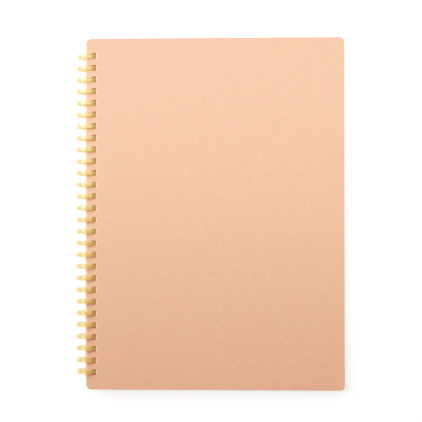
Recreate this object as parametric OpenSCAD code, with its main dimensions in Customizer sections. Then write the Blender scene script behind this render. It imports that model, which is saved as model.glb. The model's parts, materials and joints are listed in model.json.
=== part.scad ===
// Ring-bound sketchbook, lying closed on a table: two card covers, a block of loose
// drawing sheets, and a plastic comb of wide rings along the left edge.
// +Z is up, +Y runs along the rings, and +X runs from the rings across the covers.
// The origin is the middle of the book's footprint, on the table.

/* [Covers] */
// Width of each cover, across the book
cover_w = 186; // [150:1:210]
// Height of each cover, along the rings
cover_h = 254; // [246:1:297]
// Thickness of the front cover
front_t = 0.7; // [0.4:0.05:0.8]
// Thickness of the back cover
back_t = 1.0; // [0.6:0.05:1.0]
// Radius of the covers' rounded corners
cover_corner_r = 3.2; // [1:0.1:8]

/* [Sheets] */
// Number of drawing sheets
sheet_count = 40; // [12:1:40]
// Width of a sheet
sheet_w = 184; // [140:1:184]
// Height of a sheet
sheet_h = 251; // [244:1:251]
// Thickness of one sheet
sheet_t = 0.18; // [0.1:0.01:0.18]
// Radius of the sheets' rounded corners
sheet_corner_r = 2.5; // [1:0.1:8]

/* [Punched holes] */
// Distance from a leaf's left edge to its row of holes
hole_margin = 4.1; // [3.8:0.1:4.4]
// Width of a hole, across the book
hole_w = 3.3; // [3.3:0.1:3.6]
// Height of a hole, along the rings
hole_h = 4.2; // [4.1:0.1:4.6]

/* [Ring comb] */
// Number of rings
ring_count = 28; // [20:1:28]
// Outer radius of a ring
ring_r = 7.6; // [7.6:0.1:7.8]
// Wall thickness of a ring
ring_t = 0.9; // [0.7:0.05:0.9]
// Width of a ring's band
band_w = 3.5; // [2.6:0.1:3.6]
// Width of the spine strip that the rings grow from
spine_w = 3; // [2.4:0.1:3.2]

/* [Hidden] */
SHEETS = [for (i = [1 : sheet_count]) str("sheet_", i < 10 ? "0" : "", i)];
$fn = 64;

// Holes are punched three to the inch, and the moulded comb has shrunk a little in cooling
inch = 25.4;
hole_pitch = inch / 3;
ring_pitch = hole_pitch * (1 - 0.0025);
spine_len = (ring_count - 1) * ring_pitch + band_w;
ring_inner_r = ring_r - ring_t;
// A leaf's hole sits here from its left edge
hole_centre = hole_margin + hole_w / 2;

// Heights are counted from the rings' shared axis, up the stack
back_clearance = 0.6;
stack_gap = 0.02;
front_gap = 0.04;
back_gap = 0.16;
back_under = back_clearance - ring_inner_r;
sheet_pitch = sheet_t + stack_gap;
block_under = back_under + back_t + back_gap;
front_under = block_under + sheet_count * sheet_pitch + front_gap;
front_top = front_under + front_t;

// How far from the axis a ring's surface crosses a leaf, at the leaf's nearest and farthest face
function crossing(r, h) = sqrt(r * r - h * h);
function nearest(under, t) = min(abs(under), abs(under + t));
function farthest(under, t) = max(abs(under), abs(under + t));

// A leaf's left edge when its holes are centred on the rings' walls, as the covers' are
function centred_left(under, t) =
    (crossing(ring_r, nearest(under, t)) + crossing(ring_inner_r, farthest(under, t))) / 2 - hole_centre;
back_left = centred_left(back_under, back_t);
front_left = centred_left(front_under, front_t);

// A sheet's left edge: each sheet has slid a little further to the left than the one under
// it, until the top sheet's holes all but touch the rings
sheet_play = 0.22;
function touching_left(under) =
    crossing(ring_r, nearest(under, sheet_t)) + sheet_play - hole_margin - hole_w;
function slid(under) = (under - block_under) / ((sheet_count - 1) * sheet_pitch);
function sheet_left(under) =
    (1 - slid(under)) * centred_left(under, sheet_t) + slid(under) * touching_left(under);

// The stack leans down to the right until the back cover's far edge is on the table
back_right = back_left + cover_w;
lean_reach = sqrt(back_right * back_right + back_under * back_under);
lean = asin(ring_r / lean_reach) - atan2(-back_under, back_right);
book_right = (front_left + cover_w) * cos(lean) + front_top * sin(lean);
axis_x = (ring_r - book_right) / 2;

peach = [0.93, 0.72, 0.58];
kraft_peach = [0.90, 0.69, 0.55];
cream = [0.96, 0.93, 0.86];
honey = [0.93, 0.78, 0.42];

function row_y(i, pitch) = (i - (ring_count - 1) / 2) * pitch;

// Puts children from the rings' axis into the book's frame
module at_axis() {
    translate([axis_x, 0, ring_r])
        children();
}

module rounded_outline(w, h, r) {
    translate([r, -h / 2])
        square([w - 2 * r, h]);
    translate([0, r - h / 2])
        square([w, h - 2 * r]);
    for (x = [r, w - r], y = [r - h / 2, h / 2 - r])
        translate([x, y])
            circle(r);
}

module hole_row() {
    for (i = [0 : ring_count - 1])
        translate([hole_margin, row_y(i, hole_pitch) - hole_h / 2])
            square([hole_w, hole_h]);
}

// One punched leaf of card or paper, lying at its height on the leaning stack
module leaf(left, w, h, t, r, under) {
    at_axis()
        rotate([0, lean, 0])
            translate([left, 0, under])
                linear_extrude(t)
                    difference() {
                        rounded_outline(w, h, r);
                        hole_row();
                    }
}

module ring_spine() {
    color(honey)
        at_axis()
            translate([-spine_w / 2, -spine_len / 2, -ring_r])
                cube([spine_w, spine_len, ring_t]);
}

// One ring: a flat band round the axis, open at the bottom where the spine strip is
module ring_band() {
    difference() {
        rotate([90, 0, 0])
            rotate_extrude()
                translate([ring_r - ring_t, -band_w / 2])
                    square([ring_t, band_w]);
        translate([-spine_w / 2, -band_w, -2 * ring_r])
            cube([spine_w, 2 * band_w, 2 * ring_r]);
    }
}

module rings() {
    color(honey)
        at_axis()
            for (i = [0 : ring_count - 1])
                translate([0, row_y(i, ring_pitch), 0])
                    ring_band();
}

module back_cover() {
    color(kraft_peach)
        leaf(back_left, cover_w, cover_h, back_t, cover_corner_r, back_under);
}

// Sheet 1 lies on top of the block, under the front cover
module sheet(n) {
    under = block_under + (sheet_count - n) * sheet_pitch;
    color(cream)
        leaf(sheet_left(under), sheet_w, sheet_h, sheet_t, sheet_corner_r, under);
}

module front_cover() {
    color(peach)
        leaf(front_left, cover_w, cover_h, front_t, cover_corner_r, front_under);
}

ring_spine();
rings();
back_cover();
for (n = [1 : sheet_count])
    sheet(n);
front_cover();
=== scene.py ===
# %% [markdown]
# # A ring-bound sketchbook, made around its imported frame
# The CAD model is already done: it says where every leaf lies and how it turns. This
# lesson gives the book its looks. The frame is loaded first, and every new piece takes its
# place from the frame. Only the camera, the table and the lights have their places given here.

# %% Load the frame
import json
import math

import bmesh
import bpy
from mathutils import Euler, Matrix, Vector


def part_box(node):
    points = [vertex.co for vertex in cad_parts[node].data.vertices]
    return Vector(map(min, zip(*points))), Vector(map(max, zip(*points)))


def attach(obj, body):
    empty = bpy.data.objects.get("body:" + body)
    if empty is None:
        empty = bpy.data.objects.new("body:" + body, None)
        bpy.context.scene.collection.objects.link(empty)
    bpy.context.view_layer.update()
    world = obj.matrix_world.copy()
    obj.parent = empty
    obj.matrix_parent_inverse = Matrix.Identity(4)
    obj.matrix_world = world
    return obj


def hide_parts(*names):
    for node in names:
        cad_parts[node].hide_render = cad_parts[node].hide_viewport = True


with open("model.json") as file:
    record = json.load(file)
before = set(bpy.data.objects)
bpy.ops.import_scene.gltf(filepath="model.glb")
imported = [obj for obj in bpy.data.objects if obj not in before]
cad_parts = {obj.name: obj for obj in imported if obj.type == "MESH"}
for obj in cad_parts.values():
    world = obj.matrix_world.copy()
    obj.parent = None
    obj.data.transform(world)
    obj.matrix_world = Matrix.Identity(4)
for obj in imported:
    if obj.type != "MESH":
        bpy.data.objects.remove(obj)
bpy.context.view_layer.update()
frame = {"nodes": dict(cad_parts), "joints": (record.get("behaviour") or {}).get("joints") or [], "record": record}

# %% [markdown]
# ## Where the leaves lie
# A closed ring book doesn't lie level. Its rings are thicker than its block, so the stack
# leans down towards the fore edge. Each leaf's own directions are therefore: across, from
# its bound edge to its fore edge; along, parallel with the rings; and up, out of its face.
# The lean could be typed in again here, but then it could disagree with the frame. It is
# read off instead: the widest triangle of a leaf's mesh is part of one of its two faces.

# %% Measure the leaves
MM = 0.001
ring_axis = Vector(frame["joints"][0]["pos_m"])
ring_radius = ring_axis.z


def lean_of(node):
    """The angle by which a leaf leans down to the right."""
    widest = max(frame["nodes"][node].data.polygons, key=lambda face: face.area)
    normal = widest.normal * (1 if widest.normal.z > 0 else -1)
    return math.atan2(normal.x, normal.z)


lean = lean_of("front_cover")
onto_stack = Matrix.Translation(ring_axis) @ Matrix.Rotation(lean, 4, "Y")


def leaf_size(node):
    """A leaf's lowest and highest corner, counted across, along and up from the ring axis."""
    off_stack = onto_stack.inverted()
    corners = [off_stack @ v.co for v in frame["nodes"][node].data.vertices]
    low = Vector([min(c[i] for c in corners) for i in range(3)])
    high = Vector([max(c[i] for c in corners) for i in range(3)])
    return low, high


for leaf in ("back_cover", "sheet_40", "sheet_01", "front_cover"):
    low, high = leaf_size(leaf)
    print(leaf, [round(1000 * x, 2) for x in low], [round(1000 * x, 2) for x in high])
print("lean in degrees:", round(math.degrees(lean), 3), " ring radius:", round(1000 * ring_radius, 2))

# %% [markdown]
# ## The camera
# The book is looked at from straight above, a little right of its middle, through a long
# lens. A long lens keeps the far and near ends of the cover almost the same size, so that
# the book's outline stays close to its true proportions. The small tilts make the cover a
# hair larger towards its lower right corner.

# %% Place the camera
camera_at = Vector((0.0472, -0.0094, 0.9249))
camera_tilt = Euler([math.radians(a) for a in (0.71, 2.886, -0.041)])
camera = bpy.data.objects.new("camera", bpy.data.cameras.new("camera"))
camera.location = camera_at
camera.rotation_euler = camera_tilt
camera.data.lens = 108.38
camera.data.sensor_width = 36.0
camera.data.clip_start = 0.05
bpy.context.collection.objects.link(camera)
bpy.context.scene.camera = camera
print("camera at", tuple(round(x, 3) for x in camera_at), "with a lens of", camera.data.lens)

# %% [markdown]
# ## Small helpers
# A few helpers keep the later cells short. `nodes_of` and `add` build node materials: `add`
# makes one node and sets its sockets by name.


# %% Helpers for meshes and materials
def finish_mesh(name, bm, material, body):
    """A new piece from a bmesh: named, coloured, riding on its body."""
    mesh = bpy.data.meshes.new(name)
    bm.normal_update()
    bm.to_mesh(mesh)
    bm.free()
    mesh.materials.append(material)
    piece = bpy.data.objects.new(name, mesh)
    bpy.context.collection.objects.link(piece)
    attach(piece, body)
    print(name, "has", len(mesh.polygons), "faces")
    return piece


def nodes_of(name):
    """A new material's node tree, its shader and its Object coordinates."""
    material = bpy.data.materials.new(name)
    material.use_nodes = True
    tree = material.node_tree
    shader = tree.nodes["Principled BSDF"]
    where = tree.nodes.new("ShaderNodeTexCoord").outputs["Object"]
    return material, tree, shader, where


def add(tree, kind, **sockets):
    """One node, with its inputs set to numbers or linked to other nodes' outputs."""
    node = tree.nodes.new("ShaderNode" + kind)
    for label, value in sockets.items():
        socket = node.inputs[label.replace("_", " ")]
        if isinstance(value, bpy.types.NodeSocket):
            tree.links.new(value, socket)
        else:
            socket.default_value = value
    return node


def noise(tree, where, size, detail=3.0, roughness=0.55):
    """Cloudy noise whose blotches are about size metres across."""
    return add(tree, "TexNoise", Vector=where, Scale=1.0 / size, Detail=detail,
               Roughness=roughness).outputs["Fac"]


def blend_colours(tree, factor, first, second):
    """A colour between two, as factor goes from 0 to 1. Each is a colour or a socket."""
    node = tree.nodes.new("ShaderNodeMix")
    node.data_type = "RGBA"
    tree.links.new(factor, node.inputs["Factor"])
    for socket, value in ((node.inputs[6], first), (node.inputs[7], second)):
        if isinstance(value, bpy.types.NodeSocket):
            tree.links.new(value, socket)
        else:
            socket.default_value = (*value, 1.0)
    return node.outputs[2]


def spread(tree, value, low, high, to_low=0.0, to_high=1.0):
    """value's stretch from low to high, spread over to_low to to_high."""
    node = tree.nodes.new("ShaderNodeMapRange")
    tree.links.new(value, node.inputs["Value"])
    node.inputs["From Min"].default_value = low
    node.inputs["From Max"].default_value = high
    node.inputs["To Min"].default_value = to_low
    node.inputs["To Max"].default_value = to_high
    return node.outputs["Result"]


# %% [markdown]
# ## Card for the covers
# The covers are uncoated card, dyed right through. Such card has no shine. What the eye
# picks up is a soft felt-like unevenness: fibres a few tenths of a millimetre long, and
# cloudy patches a few millimetres wide where the pulp lay thicker, one slightly pinker
# and the next slightly yellower. One noise makes the patches' lightness, another their
# hue, and a third, finer one makes the felt's bumps.


# %% Make the card material
hue_patch = 5 * MM
tone_patch = 1.6 * MM
felt_fibre = 0.5 * MM


def card(name, colour, felt_depth):
    material, tree, shader, where = nodes_of(name)
    darker = [c * 0.925 for c in colour]
    pinker = [colour[0] * 1.02, colour[1] * 0.96, colour[2] * 1.0]
    yellower = [colour[0] * 1.0, colour[1] * 1.04, colour[2] * 0.975]
    hue = blend_colours(tree, spread(tree, noise(tree, where, hue_patch), 0.35, 0.65), pinker, yellower)
    tone = spread(tree, noise(tree, where, tone_patch, detail=5.0), 0.32, 0.68)
    base = blend_colours(tree, tone, darker, hue)
    felt = noise(tree, where, felt_fibre, detail=4.0, roughness=0.7)
    bump = add(tree, "Bump", Strength=0.35, Distance=felt_depth, Height=felt)
    tree.links.new(base, shader.inputs["Base Color"])
    tree.links.new(bump.outputs["Normal"], shader.inputs["Normal"])
    shader.inputs["Roughness"].default_value = 0.88
    shader.inputs["Specular IOR Level"].default_value = 0.25
    return material


front_card = card("front_card", (0.808, 0.386, 0.260), 0.10 * MM)
back_card = card("back_card", (0.775, 0.368, 0.246), 0.14 * MM)
print("card materials:", front_card.name, "and", back_card.name)

# %% [markdown]
# ## Drawing paper
# The sheets are warm white cartridge paper. From the side the block shows as a pile of
# thin edges, no two quite the same tone. A noise that is squeezed hard across the pile
# gives each edge a tone of its own. The Mapping node scales before it turns, so its turn
# does not undo the stack's lean, and the tone also drifts across every sheet in soft
# bands. To make the tone constant on a sheet, one node would have to turn and a second
# one scale. A finer noise gives the paper its tooth.


# %% Make the paper material
tone_stretch = 90 * MM
tone_squeeze = 400.0
paper_fibre = 0.35 * MM


def paper(name):
    material, tree, shader, where = nodes_of(name)
    level = add(tree, "Mapping", Vector=where)
    level.inputs["Rotation"].default_value = (0.0, -lean, 0.0)
    level.inputs["Scale"].default_value = (1.0, 1.0, tone_squeeze)
    each = noise(tree, level.outputs["Vector"], tone_stretch, detail=1.0)
    base = blend_colours(tree, spread(tree, each, 0.35, 0.65), (0.83, 0.77, 0.64), (0.87, 0.815, 0.69))
    fibres = noise(tree, where, paper_fibre, detail=4.0, roughness=0.7)
    flecked = blend_colours(tree, spread(tree, fibres, 0.60, 0.80, 0.0, 0.10), base, (0.70, 0.63, 0.50))
    bump = add(tree, "Bump", Strength=0.25, Distance=0.05 * MM, Height=fibres)
    tree.links.new(flecked, shader.inputs["Base Color"])
    tree.links.new(bump.outputs["Normal"], shader.inputs["Normal"])
    shader.inputs["Roughness"].default_value = 0.92
    shader.inputs["Specular IOR Level"].default_value = 0.2
    return material


drawing_paper = paper("drawing_paper")
sheets = sorted(name for name in frame["nodes"] if name.startswith("sheet_"))
for name in sheets:
    cad_sheet = frame["nodes"][name]
    cad_sheet.data.materials.clear()
    cad_sheet.data.materials.append(drawing_paper)
print(len(sheets), "sheets of drawing paper")

# %% [markdown]
# ## Honey-coloured plastic for the comb
# The comb is moulded in honey-coloured plastic that is part clear and part milky. Most of
# the light goes straight through each face and takes the honey tint from it, so a ring is
# pale over something white, warmer over the card and dark over a hole, and its shadow is
# honey-coloured instead of grey. The rest comes back in the plastic's body colour. Two
# thirds of the shader are therefore a tinted clear one and one third is body colour. The
# gloss belongs to that third alone, so its IOR is set higher than real plastic's, until a
# band mirrors about as much as plastic does. The body colour varies a little, as it might
# where the plastic flowed into its mould.


# %% Make the plastic material
flow_size = 3 * MM
ripple_size = 1.6 * MM
honey_tint = (0.98, 0.865, 0.68, 1.0)
body_share = 0.33


def comb_plastic(name):
    material, tree, shader, where = nodes_of(name)
    flow = noise(tree, where, flow_size, detail=2.0)
    base = blend_colours(tree, spread(tree, flow, 0.3, 0.7), (0.86, 0.71, 0.27), (0.90, 0.75, 0.32))
    ripples = noise(tree, where, ripple_size, detail=2.0)
    bump = add(tree, "Bump", Strength=0.10, Distance=0.05 * MM, Height=ripples)
    tree.links.new(base, shader.inputs["Base Color"])
    tree.links.new(bump.outputs["Normal"], shader.inputs["Normal"])
    shader.inputs["Roughness"].default_value = 0.18
    shader.inputs["IOR"].default_value = 2.3
    clear = add(tree, "BsdfTransparent", Color=honey_tint)
    both = add(tree, "MixShader")
    both.inputs[0].default_value = body_share
    tree.links.new(clear.outputs[0], both.inputs[1])
    tree.links.new(shader.outputs[0], both.inputs[2])
    output = next(node for node in tree.nodes if node.type == "OUTPUT_MATERIAL")
    tree.links.new(both.outputs[0], output.inputs["Surface"])
    return material


honey_plastic = comb_plastic("honey_plastic")
print("plastic material:", honey_plastic.name)

# %% [markdown]
# ## Where the holes are
# All leaves are punched with the same tool, so the covers' holes are in the same places as
# the sheets': a row of upright rectangles, three to the inch, a fixed way in from the
# bound edge.

# %% Name the sizes of the punching
ring_count = 28
hole_pitch = 25.4 * MM / 3
hole_margin = 4.1 * MM
hole_width = 3.3 * MM
hole_height = 4.2 * MM
hole_middles = [(i - (ring_count - 1) / 2) * hole_pitch for i in range(ring_count)]
print(ring_count, "holes at a pitch of", round(1000 * hole_pitch, 3), "mm")


# %% [markdown]
# ## Tools for the punching
# `cut` slices a flat sheet by a plane, but only the faces that a test picks. The other two
# helpers are such tests: one asks if a point is in the strip that carries the holes, the
# other if it is in a hole. The last one looks up which body of the frame a leaf rides on.


# %% Helpers for the punching
def cut(bm, inside, point, normal):
    """Cuts the faces that lie inside by a plane, and leaves the others whole."""
    faces = [face for face in bm.faces if inside(face.calc_center_median())]
    edges = {edge for face in faces for edge in face.edges}
    verts = {vert for face in faces for vert in face.verts}
    bmesh.ops.bisect_plane(bm, geom=[*faces, *edges, *verts], dist=1e-7,
                           plane_co=point, plane_no=normal)


def in_strip(point):
    return hole_margin < point.x < hole_margin + hole_width


def in_hole(point):
    nearest = min(hole_middles, key=lambda y: abs(y - point.y))
    return in_strip(point) and abs(point.y - nearest) < hole_height / 2


def frame_body(node):
    """The name of the body that a CAD node belongs to."""
    bodies = frame["record"]["behaviour"]["bodies"]
    return next(body for body, nodes in bodies.items() if node in nodes)


print("the front cover rides on the body", frame_body("front_cover"))

# %% [markdown]
# ## The covers
# A cover starts as one flat face. Its four corners are rounded first, while it is still
# a single face, because a vertex bevel is cleanest there. Then the strip that carries the
# holes is cut out by two planes, and each hole by two more, and the faces inside the
# holes are deleted. Only after that does the board get its thickness. The holes' upright
# edges are rounded a little, as a worn punch leaves them, and last the rim gets a fine
# bevel, because die-cut card never ends in a razor-sharp edge.

# %% Build a punched board
cover_corner = 3.2 * MM
hole_corner = 0.45 * MM
front_rim = 0.10 * MM
back_rim = 0.12 * MM


def punched_board(name, node, corner_radius, rim, material):
    low, high = leaf_size(node)
    width, height, thickness = high - low
    bm = bmesh.new()
    bmesh.ops.create_grid(bm, x_segments=1, y_segments=1, size=0.5)
    bmesh.ops.scale(bm, vec=(width, height, 1.0), verts=bm.verts)
    bmesh.ops.translate(bm, vec=(width / 2, 0.0, 0.0), verts=bm.verts)
    bmesh.ops.bevel(bm, geom=bm.verts[:], offset=corner_radius, segments=10, profile=0.5,
                    affect="VERTICES", material=-1)
    for x in (hole_margin, hole_margin + hole_width):
        cut(bm, lambda point: True, (x, 0.0, 0.0), (1.0, 0.0, 0.0))
    for middle in hole_middles:
        for y in (middle - hole_height / 2, middle + hole_height / 2):
            cut(bm, in_strip, (0.0, y, 0.0), (0.0, 1.0, 0.0))
    holes = [face for face in bm.faces if in_hole(face.calc_center_median())]
    bmesh.ops.delete(bm, geom=holes, context="FACES")
    print(name, "has", len(holes), "holes")

    top = bmesh.ops.extrude_face_region(bm, geom=bm.faces[:])
    raised = [item for item in top["geom"] if isinstance(item, bmesh.types.BMVert)]
    bmesh.ops.translate(bm, vec=(0.0, 0.0, thickness), verts=raised)
    bmesh.ops.recalc_face_normals(bm, faces=bm.faces)
    sharp = math.radians(80)
    uprights = [edge for edge in bm.edges
                if abs(edge.verts[0].co.z - edge.verts[1].co.z) > thickness / 2
                and edge.calc_face_angle(0.0) > sharp]
    bmesh.ops.bevel(bm, geom=uprights, offset=hole_corner, segments=4, profile=0.5,
                    affect="EDGES", material=-1)
    rims = [edge for edge in bm.edges if edge.calc_face_angle(0.0) > sharp]
    bmesh.ops.bevel(bm, geom=rims, offset=rim, segments=2, profile=0.5,
                    affect="EDGES", material=-1)
    for face in bm.faces:
        face.smooth = abs(face.normal.z) < 0.99
    place = onto_stack @ Matrix.Translation((low.x, 0.0, low.z))
    bmesh.ops.transform(bm, matrix=place, verts=bm.verts)
    piece = finish_mesh(name, bm, material, frame_body(node))
    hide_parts(node)


punched_board("front_board", "front_cover", cover_corner, front_rim, front_card)
punched_board("back_board", "back_cover", cover_corner, back_rim, back_card)

# %% [markdown]
# ## The comb's sizes
# Most of these are read off the frame. The band's width is the one that is typed, and the
# rings' pitch follows from it and from the length of the row. A skin of two hundredths of
# a millimetre is left off the bands' wall and width, because the frame's rings and these
# are cut into flat facets at different angles, and these have to stay inside. The rings
# at the two ends of the row reach less far out than the others, so their outer halves are
# squeezed a little.

# %% Name the comb's sizes
rings_low, rings_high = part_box("rings")
spine_low, spine_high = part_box("ring_spine")
wall = spine_high.z - spine_low.z
spine_width = spine_high.x - spine_low.x
band_width = 3.5 * MM
ring_pitch = (rings_high.y - rings_low.y - band_width) / (ring_count - 1)
skin = 0.02 * MM
pressed_in = {0: 0.92, 1: 0.96, ring_count - 2: 0.95, ring_count - 1: 0.92}
print("wall", round(1000 * wall, 2), "ring pitch", round(1000 * ring_pitch, 3))


# %% [markdown]
# ## The band's section
# Each ring is a flat band curled into a circle. It is made as such bands are drawn in
# section: a bar with rounded corners, flat inside and a little crowned outside. The crown
# lets the highlight fall off towards the band's edges.


# %% Draw the band's section
band_edge = 0.36 * MM
crown = 0.14 * MM


def band_section(bm):
    """The band's section as one face in the ground plane: x is its wall, y its width."""
    corners = bmesh.ops.create_grid(bm, x_segments=1, y_segments=1, size=0.5)["verts"]
    bmesh.ops.scale(bm, vec=(wall - skin, band_width - skin, 1.0), verts=corners)
    bmesh.ops.bevel(bm, geom=corners, offset=band_edge, segments=4, profile=0.5,
                    affect="VERTICES", material=-1)
    outside = [edge for edge in bm.edges
               if edge.calc_length() > band_width / 2 and edge.verts[0].co.x < 0]
    bmesh.ops.subdivide_edges(bm, edges=outside, cuts=5)
    for vert in bm.verts:
        if vert.co.x < 0:
            vert.co.x += crown * (2 * vert.co.y / band_width) ** 2


print("band width and crown in mm:", round(1000 * (band_width - skin), 2), round(1000 * crown, 2))

# %% [markdown]
# ## One ring
# A ring could also be a circular curve with the section as its bevel. A spin is used here,
# because its start and its angle can be given exactly. The section is stood up at one side
# of the spine strip and spun about the ring axis. The spin ends just short of the strip's
# other side, which leaves a hair-fine seam where the band's tip meets the strip.


# %% Spin one ring
seam_width = 0.05 * MM
spin_steps = 60


def one_ring(squeeze):
    """A ring about the origin, its gap at the bottom, its outer half squeezed."""
    bm = bmesh.new()
    band_section(bm)
    half_gap = math.asin(spine_width / 2 / ring_radius)
    seam = seam_width / ring_radius
    stand_up = Matrix.Rotation(math.radians(-90), 3, "Y")
    bmesh.ops.rotate(bm, matrix=stand_up, verts=bm.verts)
    bmesh.ops.translate(bm, vec=(0.0, 0.0, wall / 2 - ring_radius), verts=bm.verts)
    bmesh.ops.rotate(bm, matrix=Matrix.Rotation(half_gap, 3, "Y"), verts=bm.verts)
    bmesh.ops.spin(bm, geom=bm.faces[:], cent=(0, 0, 0), axis=(0, 1, 0),
                   angle=2 * (math.pi - half_gap) - seam, steps=spin_steps, use_merge=False)
    bmesh.ops.recalc_face_normals(bm, faces=bm.faces)
    outer_half = [vert for vert in bm.verts if vert.co.x < 0]
    bmesh.ops.scale(bm, vec=(squeeze, 1.0, 1.0), verts=outer_half)
    for face in bm.faces:
        face.smooth = len(face.verts) == 4
    return bm


print("each ring is spun in", spin_steps, "steps")

# %% [markdown]
# ## The row of rings
# An Array modifier could repeat one ring, but then the end rings couldn't be squeezed by
# themselves. So every ring is spun by itself, moved to its place on the axis and added to
# one mesh. Each goes over by way of a short-lived mesh, because from_mesh is the bmesh call
# that adds one mesh to another.


# %% Set the rings in a row
def ring_bands():
    row = bmesh.new()
    for i in range(ring_count):
        ring = one_ring(pressed_in.get(i, 1.0))
        along = (i - (ring_count - 1) / 2) * ring_pitch
        bmesh.ops.translate(ring, vec=ring_axis + Vector((0.0, along, 0.0)), verts=ring.verts)
        copy = bpy.data.meshes.new("one_ring")
        ring.to_mesh(copy)
        ring.free()
        row.from_mesh(copy)
        bpy.data.meshes.remove(copy)
    return row


bands = finish_mesh("ring_bands", ring_bands(), honey_plastic, "base")
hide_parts("rings")

# %% [markdown]
# ## The comb's spine
# The rings grow out of one thin strip, which lies under the back cover when the book is
# closed. It is a long box with rounded edges. A cube that is scaled and then bevelled is
# a short way to one, and it is closed from the start. The bevel comes after the
# scaling, so that its rounding is the same on the long edges and the short ones.


# %% Build the spine strip
strip_edge = 0.2 * MM
small_face = 1e-6


def spine_strip():
    bm = bmesh.new()
    bmesh.ops.create_cube(bm, size=1.0)
    bmesh.ops.scale(bm, vec=spine_high - spine_low, verts=bm.verts)
    bmesh.ops.translate(bm, vec=(spine_high + spine_low) / 2, verts=bm.verts)
    bmesh.ops.bevel(bm, geom=bm.edges[:], offset=strip_edge, segments=3, profile=0.5,
                    affect="EDGES", material=-1)
    for face in bm.faces:
        face.smooth = face.calc_area() < small_face
    return bm


strip = finish_mesh("spine_strip", spine_strip(), honey_plastic, "base")
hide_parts("ring_spine")

# %% [markdown]
# ## The table
# The book lies on a white light table: a milky sheet with lamps under it, as used for small
# goods, so that the ground stays pure white and the shadows stay faint. The sheet is a
# hair below the book, so that the two never share a plane.


# %% Lay the table
table_reach = 3.0
table_drop = 0.05 * MM
table_glow = 0.58
cloud_size = 50 * MM


def table_top():
    bm = bmesh.new()
    bmesh.ops.create_grid(bm, x_segments=1, y_segments=1, size=table_reach)
    bmesh.ops.translate(bm, vec=(0.0, 0.0, -table_drop), verts=bm.verts)
    mesh = bpy.data.meshes.new("table_top")
    bm.to_mesh(mesh)
    bm.free()
    material, tree, shader, where = nodes_of("table_white")
    clouds = noise(tree, where, cloud_size)
    tone = blend_colours(tree, clouds, (0.92, 0.92, 0.92), (0.94, 0.94, 0.94))
    tree.links.new(tone, shader.inputs["Base Color"])
    shader.inputs["Roughness"].default_value = 0.85
    shader.inputs["Specular IOR Level"].default_value = 0.2
    shader.inputs["Emission Color"].default_value = (1.0, 1.0, 1.0, 1.0)
    shader.inputs["Emission Strength"].default_value = table_glow
    mesh.materials.append(material)
    top = bpy.data.objects.new("table_top", mesh)
    bpy.context.collection.objects.link(top)


table_top()
print("the table's glow:", table_glow)

# %% [markdown]
# ## The lights
# Two soft lights hang over the table. A wide one close above the head end makes the cover
# brightest at its top. A second one stands off to the left and beyond the head, far enough
# to reach both sides of the cover alike, and throws the book's shadow to the right and
# towards its foot. The surround adds a little light from everywhere.


# %% Hang the lights
def soft_light(name, place, aim, width, depth, watts):
    """A rectangular soft light at a place, turned towards a point."""
    lamp = bpy.data.objects.new(name, bpy.data.lights.new(name, "AREA"))
    lamp.data.shape = "RECTANGLE"
    lamp.data.size = width
    lamp.data.size_y = depth
    lamp.data.energy = watts
    lamp.location = place
    lamp.rotation_mode = "QUATERNION"
    lamp.rotation_quaternion = (Vector(aim) - Vector(place)).to_track_quat("-Z", "Y")
    lamp.visible_camera = False
    bpy.context.collection.objects.link(lamp)


soft_light("head_light", place=(0.136, 0.112, 0.243), aim=(0.136, 0.112, 0.0),
           width=1.37, depth=0.175, watts=1.83)
soft_light("left_light", place=(-1.85, 0.88, 3.03), aim=(0.0, 0.0, 0.0),
           width=2.94, depth=2.94, watts=117.0)
surround_strength = 0.15
world = bpy.data.worlds.new("studio")
world.use_nodes = True
world.node_tree.nodes["Background"].inputs["Color"].default_value = (1.0, 1.0, 1.0, 1.0)
world.node_tree.nodes["Background"].inputs["Strength"].default_value = surround_strength
bpy.context.scene.world = world

# %% [markdown]
# ## How the camera takes the light
# A camera doesn't cut off bright light sharply. It rolls off, so that a bright colour turns
# paler before it turns white. A curve with a soft shoulder does the same here. Its steps
# are light going in and light coming out, and its white is 1.45 times the plain one.

# %% Shape the camera's response
view = bpy.context.scene.view_settings
view.view_transform = "Standard"
view.use_curve_mapping = True
white = 1.45
view.curve_mapping.white_level = (white, white, white)
response = view.curve_mapping.curves[3]
steps = ((0.30, 0.305), (0.45, 0.475), (0.65, 0.645), (0.90, 0.79), (1.14, 0.905), (1.29, 0.965))
for light_in, light_out in steps:
    response.points.new(light_in / white, light_out)
view.curve_mapping.update()
print("the response curve has", len(response.points), "points")
